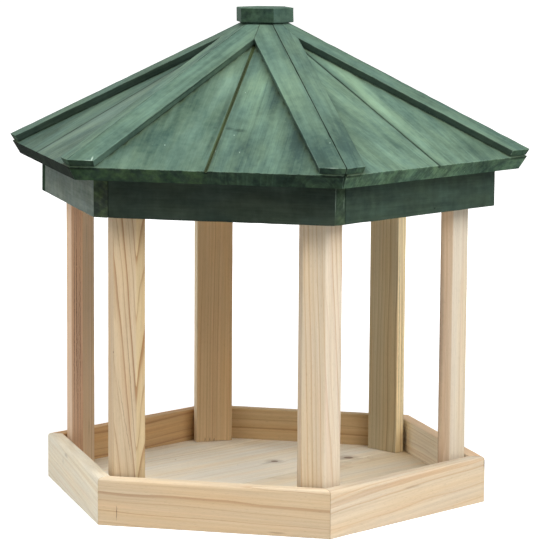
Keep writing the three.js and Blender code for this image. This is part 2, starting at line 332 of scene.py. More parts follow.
# Node trees, built one call at a time
class Graph:
    """A material's or the world's node tree."""

    def __init__(self, owner):
        owner.use_nodes = True
        self.tree = owner.node_tree
        self.tree.nodes.clear()

    def add(self, kind, **settings):
        node = self.tree.nodes.new("ShaderNode" + kind)
        for key, value in settings.items():
            setattr(node, key, value)
        return node

    def put(self, socket, value):
        if isinstance(value, bpy.types.NodeSocket):
            self.tree.links.new(value, socket)
        else:
            socket.default_value = value

    def call(self, kind, *values, output=0, **settings):
        """An output of a new node whose first inputs take these values, None to leave one alone."""
        node = self.add(kind, **settings)
        for socket, value in zip(node.inputs, values):
            if value is not None:
                self.put(socket, value)
        return node.outputs[output]

    def math(self, operation, *values, clamp=False):
        return self.call("Math", *values, operation=operation, use_clamp=clamp)

    def product(self, first, *others):
        for value in others:
            first = self.math("MULTIPLY", first, value)
        return first

    def swing(self, value, amount):
        """A noise value as a factor around 1."""
        return self.math("MULTIPLY_ADD", value, amount * 2, 1.0 - amount)

    def vector(self, operation, *values):
        output = "Value" if operation in ("LENGTH", "DOT_PRODUCT") else "Vector"
        return self.call("VectorMath", *values, output=output, operation=operation)

    def scaled(self, vector, scale):
        return self.vector("SCALE", vector, None, None, scale)

    def tinted(self, colour, tint):
        return self.vector("MULTIPLY", colour, tint)

    def split(self, vector):
        node = self.add("SeparateXYZ")
        self.put(node.inputs[0], vector)
        return node.outputs

    def object_place(self):
        return self.add("TexCoord").outputs["Object"]

    def place(self):
        """The place on the object in mm."""
        return self.scaled(self.object_place(), 1 / MM)

    def noise(self, vector, detail=2.0, roughness=0.5, output="Fac"):
        return self.call("TexNoise", vector, None, 1.0, detail, roughness, output=output)

    def stretch(self, value, low, high, to_low=0.0, to_high=1.0, smooth=True):
        kind = "SMOOTHSTEP" if smooth else "LINEAR"
        return self.call("MapRange", value, low, high, to_low, to_high, interpolation_type=kind)

    def mix(self, factor, first, second):
        node = self.add("Mix", data_type="RGBA")
        self.put(node.inputs[0], factor)
        for socket, value in ((node.inputs[6], first), (node.inputs[7], second)):
            if isinstance(value, tuple):
                value = (*value, 1.0)
            self.put(socket, value)
        return node.outputs[2]

    def ramp(self, value, stops):
        node = self.add("ValToRGB")
        elements = node.color_ramp.elements
        while len(elements) < len(stops):
            elements.new(1.0)
        for element, (place, level) in zip(elements, stops):
            element.position = place
            element.color = (level, level, level, 1.0)
        self.put(node.inputs[0], value)
        return node.outputs[0]

    def finish(self, colour, roughness, height, relief, constant):
        """Ends a material: relief is the bump's strength and its depth in mm."""
        shader = self.add("BsdfPrincipled")
        name, value = constant
        shader.inputs[name].default_value = value
        self.put(shader.inputs["Base Color"], colour)
        self.put(shader.inputs["Roughness"], roughness)
        strength, depth = relief
        bump = self.add("Bump")
        bump.inputs["Strength"].default_value = strength
        bump.inputs["Distance"].default_value = depth * MM
        self.put(bump.inputs["Height"], height)
        self.put(shader.inputs["Normal"], bump.outputs[0])
        self.end(shader.outputs[0], "OutputMaterial")

    def end(self, surface, kind):
        self.put(self.add(kind).inputs["Surface"], surface)


class WoodGraph(Graph):
    """A wood's node tree, with the attributes that every wooden piece carries as sockets."""

    def __init__(self, owner):
        super().__init__(owner)
        self.grain = self.attribute("grain", "Vector")
        self.spacing, self.contrast, self.olive = self.split(self.attribute("rings", "Vector"))
        # The finish holds the end grain's level and the edges' lightening, both partly painted light, and the
        # stain's tone, in places a painted shadow
        self.end_shade, self.worn, self.tone = self.split(self.attribute("finish", "Vector"))
        self.to_seam, self.to_strip, _ = self.split(self.attribute("near", "Vector"))
        self.early = self.attribute("early", "Color")
        self.late = self.attribute("late", "Color")
        self.is_end = self.attribute("end", "Fac")
        self.is_edge = self.attribute("edge", "Fac")
        self.raw_and_lit = self.attribute("raw_and_lit", "Fac")
        # The tint of each face is painted light and shade
        self.tint = self.attribute("tint", "Vector")

    def attribute(self, name, output):
        return self.add("Attribute", attribute_name=name).outputs[output]

    def grain_noise(self, along, across, detail=2.0, roughness=0.5, output="Fac"):
        """Noise that runs along the board, in features per mm."""
        return self.noise(self.tinted(self.grain, (along, across, across)), detail, roughness, output)


def new_material(name, kind=Graph):
    material = bpy.data.materials.new(name)
    return material, kind(material)


def knot_field(graph, knots):
    """How much each knot bends the rings, and how dark it is, for knots placed in mm."""
    place = graph.place()
    bend = 0.0
    dark = 0.0
    for centre, axis, radius in knots:
        offset = graph.vector("SUBTRACT", place, centre)
        distance = graph.vector("LENGTH", graph.vector("CROSS_PRODUCT", offset, axis))
        reach = graph.math("DIVIDE", distance, radius)
        swell = graph.math("EXPONENT", graph.product(graph.math("POWER", reach, 2.0), -0.22))
        bend = graph.math("ADD", bend, graph.product(swell, radius * 1.6))
        core = graph.stretch(reach, 0.55, 1.15, 1.0, 0.0)
        halo = graph.stretch(reach, 0.9, 2.8, 0.35, 0.0)
        dark = graph.math("MAXIMUM", dark, graph.math("MAXIMUM", core, halo))
    return bend, dark


# Shares of a ring's width, and how dark the wood is there
LATE_WOOD = ((0.0, 0.4), (0.04, 0.06), (0.12, 0.0), (0.55, 0.03), (0.78, 0.2), (0.93, 0.9), (1.0, 1.0))
MIDDLE_GREY = (0.5, 0.5, 0.5)
RING_DRIFT = 12


def growth_rings(wood, bend=0.0, drift_reach=RING_DRIFT):
    """0 in the pale early wood of a ring, rising to its dark late line, some rings darker than others."""
    drift = wood.grain_noise(0.006, 0.022, output="Color")
    drift = wood.tinted(wood.vector("SUBTRACT", drift, MIDDLE_GREY), (0, drift_reach, drift_reach))
    across = wood.tinted(wood.vector("ADD", wood.grain, drift), (0, 1, 1))
    radius = wood.math("ADD", wood.vector("LENGTH", across), bend)
    turns = wood.math("DIVIDE", radius, wood.spacing)
    uneven = wood.call("TexNoise", None, wood.product(radius, 0.09), 1.0, noise_dimensions="1D")
    turns = wood.math("ADD", turns, wood.product(uneven, 2.6))
    each = wood.call("TexWhiteNoise", None, wood.math("FLOOR", turns), noise_dimensions="1D")
    strength = wood.math("MULTIPLY_ADD", each, 0.75, 0.25)
    return wood.product(wood.ramp(wood.math("FRACT", turns), LATE_WOOD), strength)


def marks_field(graph, marks):
    """How strong the small marks are: (centre in mm, direction, half length, half width, strength)."""
    place = graph.place()
    ragged = graph.noise(graph.scaled(place, 0.2), 3.0, 0.6, "Color")
    ragged = graph.scaled(graph.vector("SUBTRACT", ragged, MIDDLE_GREY), 1.6)
    place = graph.vector("ADD", place, ragged)
    strongest = 0.0
    for centre, direction, half_length, half_width, strength in marks:
        turn = Vector(direction).to_track_quat("X", "Z").to_euler()
        size = (half_length, half_width, half_width)
        placed = graph.call("Mapping", place, centre, turn, size, vector_type="TEXTURE")
        reach = graph.vector("LENGTH", placed)
        strongest = graph.math("MAXIMUM", strongest, graph.stretch(reach, 0.3, 1.1, strength, 0.0))
    return strongest


KNOT_BROWN = linear(112, 78, 50)
MARK_BROWN = linear(70, 46, 30)
BARE_RELIEF = (0.6, 0.16)
BARE_GLOSS = ("Specular IOR Level", 0.3)


def bare_wood(name, knots=(), marks=(), streaked=1.0, drift_reach=RING_DRIFT):
    """Planed softwood: growth rings, streaks, fine fibres, short pores, knots and small marks."""
    material, wood = new_material(name, WoodGraph)
    bend, dark = knot_field(wood, knots) if knots else (0.0, 0.0)
    rings = growth_rings(wood, bend, drift_reach)
    patches = wood.grain_noise(0.006, 0.05, 3.0, 0.55)
    streaks = wood.grain_noise(0.004, 0.42, 4.0, 0.62)
    fibres = wood.grain_noise(0.06, 2.4, 2.0, 0.6)
    blush = wood.grain_noise(0.005, 0.16, 2.0, 0.5)
    pores = wood.grain_noise(0.22, 1.9, 1.0, 0.5)
    streak_tint = wood.mix(streaks, (1.22, 1.25, 1.28), (0.80, 0.74, 0.66))
    colour = wood.mix(wood.product(rings, wood.contrast), wood.early, wood.late)
    tints = (
        (wood.stretch(patches, 0.35, 0.7), (0.99, 0.94, 0.86)),
        (wood.stretch(blush, 0.5, 0.75, 0.0, 0.5), (1.0, 0.92, 0.88)),
        (streaked, streak_tint),
    )
    for share, tint in tints:
        colour = wood.mix(share, colour, wood.tinted(colour, tint))
    level = wood.product(
        wood.swing(patches, 0.12),
        wood.swing(fibres, 0.10),
        wood.stretch(pores, 0.60, 0.74, 1.0, 0.86),
        wood.math("ADD", wood.tone, 1.0),
    )
    # The face's tint paints light and shade into the colour
    colour = wood.tinted(wood.scaled(colour, level), wood.tint)
    colour = wood.mix(wood.is_end, colour, wood.tinted(colour, (0.80, 0.72, 0.62)))
    colour = wood.mix(wood.is_edge, colour, wood.scaled(colour, 0.93))
    if knots:
        colour = wood.mix(wood.product(dark, 0.85), colour, KNOT_BROWN)
    if marks:
        colour = wood.mix(marks_field(wood, marks), colour, MARK_BROWN)
    height = wood.math("ADD", wood.product(fibres, 0.7), wood.product(rings, 0.5))
    roughness = wood.stretch(fibres, 0.3, 0.7, 0.60, 0.74)
    wood.finish(colour, roughness, height, BARE_RELIEF, BARE_GLOSS)
    return material


OLIVE = linear(92, 102, 60)
SEAM_OLIVE = linear(92, 108, 72)
SEAM_BROWN = linear(66, 76, 54)
PALE_MARK_GREEN = linear(198, 220, 204)
STAINED_RELIEF = (0.6, 0.2)
STAINED_GLOSS = ("Specular IOR Level", 0.05)


def stained_wood(name, marks=(), pale_marks=(), runs=0.0):
    """Softwood under a thin green stain: blotches, brushed streaks, runs, worn edges with a painted
    highlight, raw seams, and painted shade by the seams and strips.
    """
    material, wood = new_material(name, WoodGraph)
    place = wood.place()
    rings = growth_rings(wood)
    patches = wood.grain_noise(0.014, 0.04, 3.0, 0.6)
    streaks = wood.grain_noise(0.010, 0.22, 4.0, 0.65)
    brushed = wood.grain_noise(0.035, 0.8, 3.0, 0.6)
    fibres = wood.grain_noise(0.07, 2.2, 2.0, 0.6)
    smears = wood.grain_noise(0.030, 0.12, 3.0, 0.6)
    hue = wood.grain_noise(0.020, 0.05, 2.0, 0.5)
    mottle = wood.noise(wood.scaled(place, 0.16), 4.0, 0.62)
    blotch = wood.noise(wood.scaled(place, 0.12), 3.0, 0.6)
    run_down = wood.noise(wood.tinted(place, (0.11, 0.11, 0.03)), 3.0, 0.6)
    # How much stain the wood took, and so how dark it is
    cover = wood.math("MULTIPLY_ADD", streaks, 0.5, wood.product(mottle, 0.7))
    depth = wood.stretch(wood.math("ADD", patches, cover), 0.78, 1.42, smooth=False)
    depth = wood.math("ADD", depth, wood.product(rings, wood.contrast, 0.5))
    # The tone holds stain patches and, on the front panel, a painted shadow along the right strip
    depth = wood.math("SUBTRACT", depth, wood.tone, clamp=True)
    colour = wood.mix(depth, wood.early, wood.late)
    hue_tint = wood.mix(wood.stretch(hue, 0.32, 0.68), (0.97, 1.0, 1.03), (1.03, 1.01, 0.95))
    level = wood.product(
        wood.swing(fibres, 0.13),
        wood.swing(brushed, 0.13),
        wood.math("MULTIPLY_ADD", wood.tone, 0.35, 1.0),
        wood.swing(mottle, 0.18),
        wood.swing(smears, 0.24),
        wood.swing(run_down, runs),
    )
    # The face's tint paints light and shade into the colour
    colour = wood.tinted(wood.scaled(wood.tinted(colour, hue_tint), level), wood.tint)
    # End grain, blotched where it drank more stain, and per board lighter or darker, partly as painted light
    # and shade
    pale = wood.mix(wood.olive, (1.1, 1.15, 1.12), (1.35, 1.55, 0.85))
    end_tint = wood.mix(wood.stretch(blotch, 0.35, 0.65), (0.74, 0.78, 0.74), pale)
    ring_light = wood.math("SUBTRACT", wood.math("SQRT", rings), 0.35)
    rings_shown = wood.math("MULTIPLY_ADD", ring_light, wood.product(wood.contrast, 1.2), 1.0)
    end_tint = wood.scaled(end_tint, rings_shown)
    colour = wood.mix(wood.is_end, colour, wood.scaled(wood.tinted(colour, end_tint), wood.end_shade))
    # Lighter arrises: stain worn off, and a painted highlight
    chafed_and_highlit = wood.stretch(wood.grain_noise(0.05, 0.2, 3.0, 0.6), 0.40, 0.62)
    worn = wood.mix(chafed_and_highlit, colour, wood.tinted(wood.early, (1.5, 1.35, 1.4)))
    colour = wood.mix(wood.product(wood.is_edge, wood.worn), colour, worn)
    # Darker in the seams, along the strips and in the joint on the hip: stain that pooled there, and painted
    # shade, the strips' cast shadow and the shade in the seams
    pooled_and_shaded = wood.product(
        wood.stretch(wood.to_seam, 0.6, 2.4, 0.35, 1.0),
        wood.stretch(wood.to_seam, 1.0, 9.0, 0.88, 1.0),
        wood.stretch(wood.to_strip, 0.6, 2.0, 0.50, 1.0),
        wood.stretch(wood.to_strip, 0.0, 14.0, 0.78, 1.0),
    )
    colour = wood.scaled(colour, pooled_and_shaded)
    olive = wood.product(wood.stretch(wood.to_strip, 1.5, 5.0, 0.35, 0.0), streaks)
    colour = wood.mix(wood.math("SUBTRACT", olive, wood.is_end, clamp=True), colour, OLIVE)
    # The sawn sides in the front seam, one painted lighter and one darker as painted light and shade
    seam = wood.mix(wood.stretch(streaks, 0.4, 0.6), SEAM_OLIVE, SEAM_BROWN)
    colour = wood.mix(wood.stretch(wood.raw_and_lit, 0.05, 0.1), colour, wood.scaled(seam, wood.raw_and_lit))
    # Pale specks where the stain missed
    speck = wood.stretch(wood.noise(wood.scaled(place, 0.33), 2.0, 0.6), 0.75, 0.80, 0.0, 0.4)
    colour = wood.mix(speck, colour, wood.tinted(wood.early, (1.9, 1.7, 1.7)))
    if marks:
        colour = wood.mix(marks_field(wood, marks), colour, wood.scaled(wood.late, 0.3))
    # Pale flecks and chips, and in places a painted highlight
    if pale_marks:
        colour = wood.mix(marks_field(wood, pale_marks), colour, PALE_MARK_GREEN)
    height = wood.math("ADD", wood.product(fibres, 0.8), wood.product(brushed, 0.6))
    roughness = wood.math("MAXIMUM", wood.stretch(fibres, 0.3, 0.7, 0.56, 0.70), wood.is_end)
    wood.finish(colour, roughness, height, STAINED_RELIEF, STAINED_GLOSS)
    return material


ZINC_DARK = linear(176, 178, 182)
ZINC_LIGHT = linear(206, 204, 196)
ZINC_RELIEF = (0.3, 0.05)


def zinc_steel(name):
    """Bright zinc on a screw: metal with a dull, slightly mottled sheen."""
    material, graph = new_material(name)
    mottle = graph.noise(graph.scaled(graph.place(), 0.9), 3.0, 0.6)
    colour = graph.mix(mottle, ZINC_DARK, ZINC_LIGHT)
    roughness = graph.stretch(mottle, 0.3, 0.7, 0.3, 0.48)
    graph.finish(colour, roughness, mottle, ZINC_RELIEF, ("Metallic", 1.0))
    return material


# Knots are (centre in mm, axis, radius), and marks are what marks_field reads
RIM_OUTER = 190.5
FASCIA_OUTER = 194.8
STRIP_THICKNESS = 7
FRONT_CLIMB = panel_axes("front")[2]
FRONT_ALONG = side_axes("front")[0]
LEFT_FRONT_ALONG = side_axes("left_front")[0]
RIGHT_FRONT_ALONG = side_axes("right_front")[0]
NEARLY_ALONG_FRONT = FRONT_ALONG * 0.98 + FRONT_CLIMB * -0.12
FLOOR_ALONG = (0.5, 0.87, 0)
FLOOR_KNOTS = (
    ((-5, 73, 12), UP, 4.6),
    ((63, 110, 12), UP, 6.0),
)
FLOOR_MARKS = (
    ((-103, 54, 12), UP, 1.2, 1.2, 0.7),
    ((-36.5, 46, 12), UP, 0.9, 0.9, 0.6),
    ((-10, 64, 12), FLOOR_ALONG, 13, 4, 0.22),
    ((58, 102, 12), FLOOR_ALONG, 15, 5, 0.2),
)
RIM_MARKS = (
    (wall_point("front", -92, 12, RIM_OUTER), UP, 9, 0.5, 0.75),
    (wall_point("front", 60, 3, RIM_OUTER), FRONT_ALONG, 10, 1.2, 0.3),
    (wall_point("left_front", -26, 38, RIM_OUTER), LEFT_FRONT_ALONG, 9, 2.5, 0.25),
    (wall_point("left_front", -40, 29, RIM_OUTER), UP, 5, 3, 0.16),
    (wall_point("right_front", 4, 31, RIM_OUTER), RIGHT_FRONT_ALONG, 16, 1.6, 0.2),
    (wall_point("right_front", 109.6, 37, RIM_OUTER), UP, 9, 1.1, 0.85),
    ((211, 0, 44), (1, 0, 0), 9, 0.9, 0.5),
    ((-211, 0, 44), (1, 0, 0), 9, 0.8, 0.7),
)
POST_MARKS = (
    ((-186.1, -19, 160), (0.004, 0, 1), 150, 0.6, 0.65),
    ((-183.7, -19, 160), (-0.003, 0, 1), 150, 0.7, 0.75),
    ((-182.2, -19, 120), (0.002, 0, 1), 110, 0.5, 0.5),
    ((-180.2, -19, 160), (0.002, 0, 1), 150, 0.6, 0.65),
    ((-177.1, -6, 243), UP, 20, 1.0, 0.45),
    ((-177.1, 0, 52), UP, 11, 1.4, 0.45),
    ((-100.3, -172.9, 159.5), UP, 1.3, 1.0, 0.7),
    ((-89, -173.3, 96), (19, 0, -108), 56, 0.5, 0.4),
    ((-84, -173.3, 137), (13, 0, -184), 95, 0.45, 0.35),
    ((106.4, 146.8, 140), (0.002, 0.004, -1), 130, 1.3, 0.42),
    ((108.9, 151.0, 110), (0.005, 0.01, -1), 100, 1.3, 0.4),
    ((110.6, 153.8, 40), (0.01, 0.02, -1), 34, 1.8, 0.42),
    ((178.2, -19, 170), UP, 150, 3.4, 0.4),
    ((-97.3, 148.3, 14.5), UP, 2.6, 0.6, 0.8),
    ((-92.6, 151.0, 14.5), UP, 3.4, 0.5, 0.8),
    ((-88.9, 153.2, 13.8), UP, 2.2, 0.6, 0.8),
)


# Half length, half width and, for a stroke, strength of these marks, and how a stroke leans
SAW_STROKE = (6, 0.7, 0.5)
SAW_LEAN = 0.6
WALL_LINE = (110, 0.8)


def over_front(u, w, height=0):
    """A point over the front panel."""
    return panel_point("front", u, w, height)


def saw_stroke(side, u):
    """A dark slanting stroke on the sawn end of a roof board, u along the eave."""
    _, along, _, lift = panel_axes(side)
    return panel_point(side, u, 0, -ROOF_BOARD_THICKNESS / 2), lift + along * SAW_LEAN, *SAW_STROKE


def strip_edge(side, end):
    """A point on a hip strip's inner edge, and the direction from it into the panel."""
    node = f"hip_strip_{side}_{end}"
    _, _, across, _ = board_grain(node)
    inward = -across if end == "left" else across
    points = [vertex.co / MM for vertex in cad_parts[node].data.vertices]
    foot = max(points, key=lambda point: point.dot(inward))
    return foot, inward


def strip_wall_line(side, end, height, strength):
    """A dark line along the inner wall of a hip strip, at a height over the panel."""
    foot, _ = strip_edge(side, end)
    middle, hip, _, lift = board_grain(f"hip_strip_{side}_{end}")
    foot_height = (foot - panel_point(side, 0, 0)).dot(lift)
    centre = foot + hip * (middle - foot).dot(hip) + lift * (height - foot_height)
    return centre, hip, *WALL_LINE, strength


ROOF_MARKS = (
    (over_front(7, 67.5), NEARLY_ALONG_FRONT, 5, 2.6, 0.45),
    (over_front(17, 65), NEARLY_ALONG_FRONT, 8, 3.4, 0.5),
    (over_front(14, 80), NEARLY_ALONG_FRONT, 11, 6, 0.16),
    (over_front(-6, 68.5), NEARLY_ALONG_FRONT, 4.5, 2.4, 0.35),
    (over_front(-116, 2.0, 3.4), FRONT_ALONG, 10, 3.0, 0.6),
    (over_front(-4.8, 96), FRONT_CLIMB, 46, 3.2, 0.38),
    (over_front(-5.2, 44), FRONT_CLIMB, 20, 3.0, 0.32),
    (over_front(2.6, 30), FRONT_CLIMB, 30, 1.3, 0.3),
    strip_wall_line("front", "left", 0.9, 0.5),
    strip_wall_line("front", "left", 5.4, 0.6),
    *[saw_stroke("right_front", u) for u in (-26, -17, -8, 1, 10, 17, 25, 33, 42)],
)
# Pale flecks on the front panel, and pale lines on the hip strips' lower ends, where the stain is worn and a
# highlight is painted
ROOF_PALE_MARKS = (
    (over_front(1.5, 32.4), UP, 0.9, 0.8, 0.6),
    (over_front(24.4, 30.9), FRONT_CLIMB, 1.6, 0.6, 0.45),
    (over_front(13.5, 57.5), UP, 0.8, 0.8, 0.5),
    (over_front(8.4, 126.4), UP, 0.7, 0.7, 0.5),
    (over_front(-47.1, 38.9), UP, 0.8, 0.8, 0.6),
    (over_front(106, 39.8, STRIP_THICKNESS), UP, 1.0, 1.0, 0.4),
    (over_front(-108, 1.5, STRIP_THICKNESS), FRONT_ALONG, 5, 0.8, 0.5),
    (over_front(-105.5, 4, STRIP_THICKNESS), FRONT_CLIMB, 5, 0.9, 0.75),
    (over_front(116, 1.5, STRIP_THICKNESS), FRONT_ALONG, 8, 0.8, 0.3),
)
FASCIA_MARKS = (
    (wall_point("left_front", -83, 309, FASCIA_OUTER), UP, 1.6, 1.5, 0.9),
    (wall_point("right_front", 25, 292, FASCIA_OUTER), RIGHT_FRONT_ALONG, 1.9, 1.0, 0.8),
)
# Two pale upright lines near the front right corner: the one at the corner is a painted highlight, the other
# runs along the lap
FASCIA_PALE_MARKS = (
    (wall_point("right_front", -100.7, 307, FASCIA_OUTER), UP, 8, 0.5, 0.2),
    (wall_point("right_front", -111.6, 312, FASCIA_OUTER), UP, 20, 0.5, 0.22),
)

bare_rim = bare_wood("bare_wood_rim_look", marks=RIM_MARKS)
bare_floor = bare_wood("bare_wood_floor_look", FLOOR_KNOTS, FLOOR_MARKS, streaked=0.75)
bare_post = bare_wood("bare_wood_post_look", marks=POST_MARKS, drift_reach=5)
stained_roof = stained_wood("stained_wood_roof_look", ROOF_MARKS, ROOF_PALE_MARKS)
stained_fascia = stained_wood("stained_wood_fascia_look", FASCIA_MARKS, FASCIA_PALE_MARKS, runs=0.28)
zinc = zinc_steel("zinc_steel_look")


# Meshes and objects, with tolerances in m
CUT_TOLERANCE = 1e-7
MERGE_DISTANCE = 1e-6


def mesh_of(bm, name):
    """The finished mesh of a bmesh, which is freed."""
    mesh = bpy.data.meshes.new(name)
    bm.to_mesh(mesh)
    bm.free()
    return mesh


def add_object(name, data):
    """A new object in the scene."""
    item = bpy.data.objects.new(name, data)
    bpy.context.scene.collection.objects.link(item)
    return item


def new_piece(mesh, material, node):
    """A finished mesh as a piece of the object, in place of a CAD node."""
    mesh.materials.clear()
    mesh.materials.append(material)
    piece = add_object(mesh.name, mesh)
    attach(piece, "root")
    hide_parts(node)


def split_faces(bm, point, normal):
    """Cuts all faces along a plane."""
    geometry = bm.verts[:] + bm.edges[:] + bm.faces[:]
    bmesh.ops.bisect_plane(bm, geom=geometry, dist=CUT_TOLERANCE, plane_co=point, plane_no=normal)


# The wooden pieces: each CAD board again, with eased, worn edges and its own grain
def slice_along(bm, axis, step):
    """Cuts the faces across the board every step mm, so that its long edges can waver."""
    reach = [vertex.co.dot(axis) for vertex in bm.verts]
    low, high = min(reach), max(reach)
    count = max(2, int((high - low) / (step * MM)))
    for index in range(1, count):
        split_faces(bm, axis * (low + (high - low) * index / count), axis)


# Joints of the roof boards, in mm: on the hips, open at the top by HIP_OPENINGS, and in the seams
HIP_GAP = 0.17
HIP_OPENINGS = {"front_right": 1.6}
HIP_REACH = 4.5
SEAM_GROOVE_DEPTH = 2.2
GROOVE_MARGIN = 0.1
SEAM_REACH = 2.0
SEAM_OVERLAP = 0.2
JOINT_REACH = 0.4


def hip_corner(node):
    """The corner that a roof board's or strip's hip runs down to."""
    turn = 30 if node.endswith("_right") else -30
    angle = (SIDES[roof_side(node)] + turn) % 360
    return next(corner for corner, degrees in CORNERS.items() if degrees == angle)


def hip_place(side, point):
    """How far along the eave a point in mm lies, and how far the hip lies at its distance out."""
    along, outward = side_axes(side)
    return point.dot(along), point.dot(outward) * TAN_HALF


def close_hip(bm, node):
    """Leans a roof board's wall on the hip out, so that the panels nearly meet on top as well."""
    side = roof_side(node)
    eave, along, _, lift = panel_axes(side)
    opening = HIP_OPENINGS.get(hip_corner(node), 0.0)
    for vertex in bm.verts:
        point = vertex.co / MM
        sideways, hip = hip_place(side, point)
        on_seam = abs(sideways - SEAM_SHIFT.get(side, 0)) < SEAM_REACH
        if 0 < hip - abs(sideways) < HIP_REACH and not on_seam:
            share = (point - eave).dot(lift) / ROOF_BOARD_THICKNESS
            reach = hip - HIP_GAP - opening * share
            vertex.co += along * (copysign(reach, sideways) - sideways) * MM


def close_seam(bm, node):
    """Makes the open seam of a panel a groove: further down, the boards lap a little."""
    side = roof_side(node)
    seam = SEAM_SHIFT.get(side, 0)
    eave, along, _, lift = panel_axes(side)
    groove_floor = (eave + lift * (ROOF_BOARD_THICKNESS - SEAM_GROOVE_DEPTH)) * MM
    split_faces(bm, groove_floor, lift)
    for vertex in bm.verts:
        sideways = vertex.co.dot(along) / MM - seam
        is_low = (vertex.co - groove_floor).dot(lift) < GROOVE_MARGIN * MM
        if is_low and abs(sideways) < SEAM_REACH:
            vertex.co -= along * (copysign(SEAM_OVERLAP, sideways) + sideways) * MM


def in_joint(node, point):
    """Whether a corner of a roof board lies in the seam or on the hip, where the boards meet."""
    side = roof_side(node)
    sideways, hip = hip_place(side, point / MM)
    return min(abs(sideways - SEAM_SHIFT.get(side, 0)), abs(hip - abs(sideways))) < JOINT_REACH


# How edges are eased and worn, in mm, and what counts as sharp, flat, narrow or along the board
RIM_TOP_HEIGHT = 44
RIM_TOP_EASE = 2.0
CAP_TOP_EASE = 2.6
WIDE_EASE = 1.5
TOP_MARGIN = 1.0
SHARP_ANGLE = radians(35)
COPLANAR_ANGLE = radians(0.4)
EASED_FACE_WIDTH = 2.4
ALONG_SHARE = 0.99
WOBBLE_LENGTH = 22
NICK_LENGTH = 7
NICK_THRESHOLD = 0.1
SEED_STRIDES = (7.3, 3.1, 5.7)
CAP_CORNER_SHIFT = 3.7


def edge_ease(node, edge, width):
    """How far an edge is rounded: the cap's and the rim's tops more, and closed joints not at all."""
    first, second = (vertex.co for vertex in edge.verts)
    lowest = min(first.z, second.z)
    if node.startswith("roof_board_"):
        return 0.0 if in_joint(node, first) and in_joint(node, second) else width
    if node == "cap":
        return CAP_TOP_EASE if lowest > cad_high.z - TOP_MARGIN * MM else width
    if not node.startswith("rim_board_"):
        return width
    along, _ = side_axes(node[len("rim_board_"):])
    if abs((second - first).normalized().dot(along)) < ALONG_SHARE:
        return 0.0
    return RIM_TOP_EASE if lowest > (RIM_TOP_HEIGHT - TOP_MARGIN) * MM else width


def ease_edges(bm, node, width, shortest):
    """Rounds the sharp outer edges and returns the layer that marks them."""
    edge_layer = bm.faces.layers.float.new("edge")
    for face in bm.faces:
        longest = max(edge.calc_length() for edge in face.edges)
        face.smooth = face.calc_area() / longest < EASED_FACE_WIDTH * MM
    sharp = {}
    for edge in bm.edges:
        if len(edge.link_faces) != 2 or not edge.is_convex:
            continue
        if edge.calc_face_angle(0) > SHARP_ANGLE and edge.calc_length() > shortest * MM:
            sharp.setdefault(edge_ease(node, edge, width), []).append(edge)
    sharp.pop(0.0, None)
    for ease, edges in sharp.items():
        steps = 4 if ease > WIDE_EASE else 3
        settings = {"offset_type": "OFFSET", "profile": 0.5, "affect": "EDGES", "clamp_overlap": True}
        made = bmesh.ops.bevel(bm, geom=edges, offset=ease * MM, segments=steps, **settings)
        for face in made["faces"]:
            face.smooth = True
            face[edge_layer] = 1.0
    return edge_layer


def wear(bm, edge_layer, wobble, nick, seed):
    """Moves the surface by small smooth amounts, and dents the edges here and there."""
    offset = Vector([seed * stride for stride in SEED_STRIDES])
    for vertex in bm.verts:
        shift = noise.noise_vector(vertex.co / (WOBBLE_LENGTH * MM) + offset)
        vertex.co += shift * wobble * MM
    bm.normal_update()
    for vertex in bm.verts:
        if any(face[edge_layer] for face in vertex.link_faces):
            depth = noise.noise(vertex.co / (NICK_LENGTH * MM) + offset) - NICK_THRESHOLD
            vertex.co -= vertex.normal * max(0.0, depth) * nick * MM


def keep_inside(bm):
    """Holds the surface inside the box of the CAD solids."""
    for vertex in bm.verts:
        for axis in range(3):
            vertex.co[axis] = min(max(vertex.co[axis], cad_low[axis]), cad_high[axis])


def shift_cap_corner(bm):
    """The cap was sawn by hand: its front left corner stands further left."""
    low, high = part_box("cap")
    middle = (low + high) / 2
    reach = (high.x - low.x) / 2
    corner = plan(CORNERS["front_left"])
    for vertex in bm.verts:
        share = max(0.0, (vertex.co - middle).dot(corner) / reach * 2 - 1)
        vertex.co.x -= CAP_CORNER_SHIFT * MM * share


# What the wood materials read from the meshes
FIELDS = {"FLOAT_VECTOR": "vector", "FLOAT_COLOR": "color", "FLOAT": "value"}
GRAIN_STRIDE = 613.0
FAR = 99.0
PLAIN_HIP = "front_left"
HIP_LINE_SPREAD = 2
HIP_LINE_OFFSET = 0.2
SIDE_SHARE = 0.7
RAW_SIDE_SHARE = 0.6
# How bright the sawn sides in the front seam are, and which way across the board they look: the left board's
# side painted darker and the right board's lighter, painted shade and light
RAW_SIDE_LIGHT = {"roof_board_front_left": (1, 0.7), "roof_board_front_right": (-1, 1.2)}


def set_values(mesh, name, kind, values, domain="POINT"):
    layer = mesh.attributes.new(name, kind, domain)
    layer.data.foreach_set(FIELDS[kind], values)


def tone_at(point, along, across, tones):
    """How much lighter or darker the stain is painted at a point in mm, with a painted shadow in places."""
    total = 0.0
    for centre, reach_along, reach_across, amount in tones:
        offset = point - centre
        share = (offset.dot(along) / reach_along) ** 2 + (offset.dot(across) / reach_across) ** 2
        total += amount * exp(-share)
    return total


def near_seam(point, panel, seam, strip_edges):
    """Distances in mm on top of a panel to its seam and to its nearer strip."""
    eave, along, _, lift = panel
    offset = point - eave
    if offset.dot(lift) < ROOF_BOARD_THICKNESS / 2:
        return FAR, FAR
    to_strip = min((point - foot).dot(inward) for foot, inward in strip_edges)
    return abs(offset.dot(along) - seam), max(0.0, to_strip)


def near_hip(point, side):
    """For a strip, the distance to its joint on the hip in place of the distance to a seam."""
    sideways, hip = hip_place(side, point)
    return (hip - abs(sideways)) * HIP_LINE_SPREAD + HIP_LINE_OFFSET, FAR


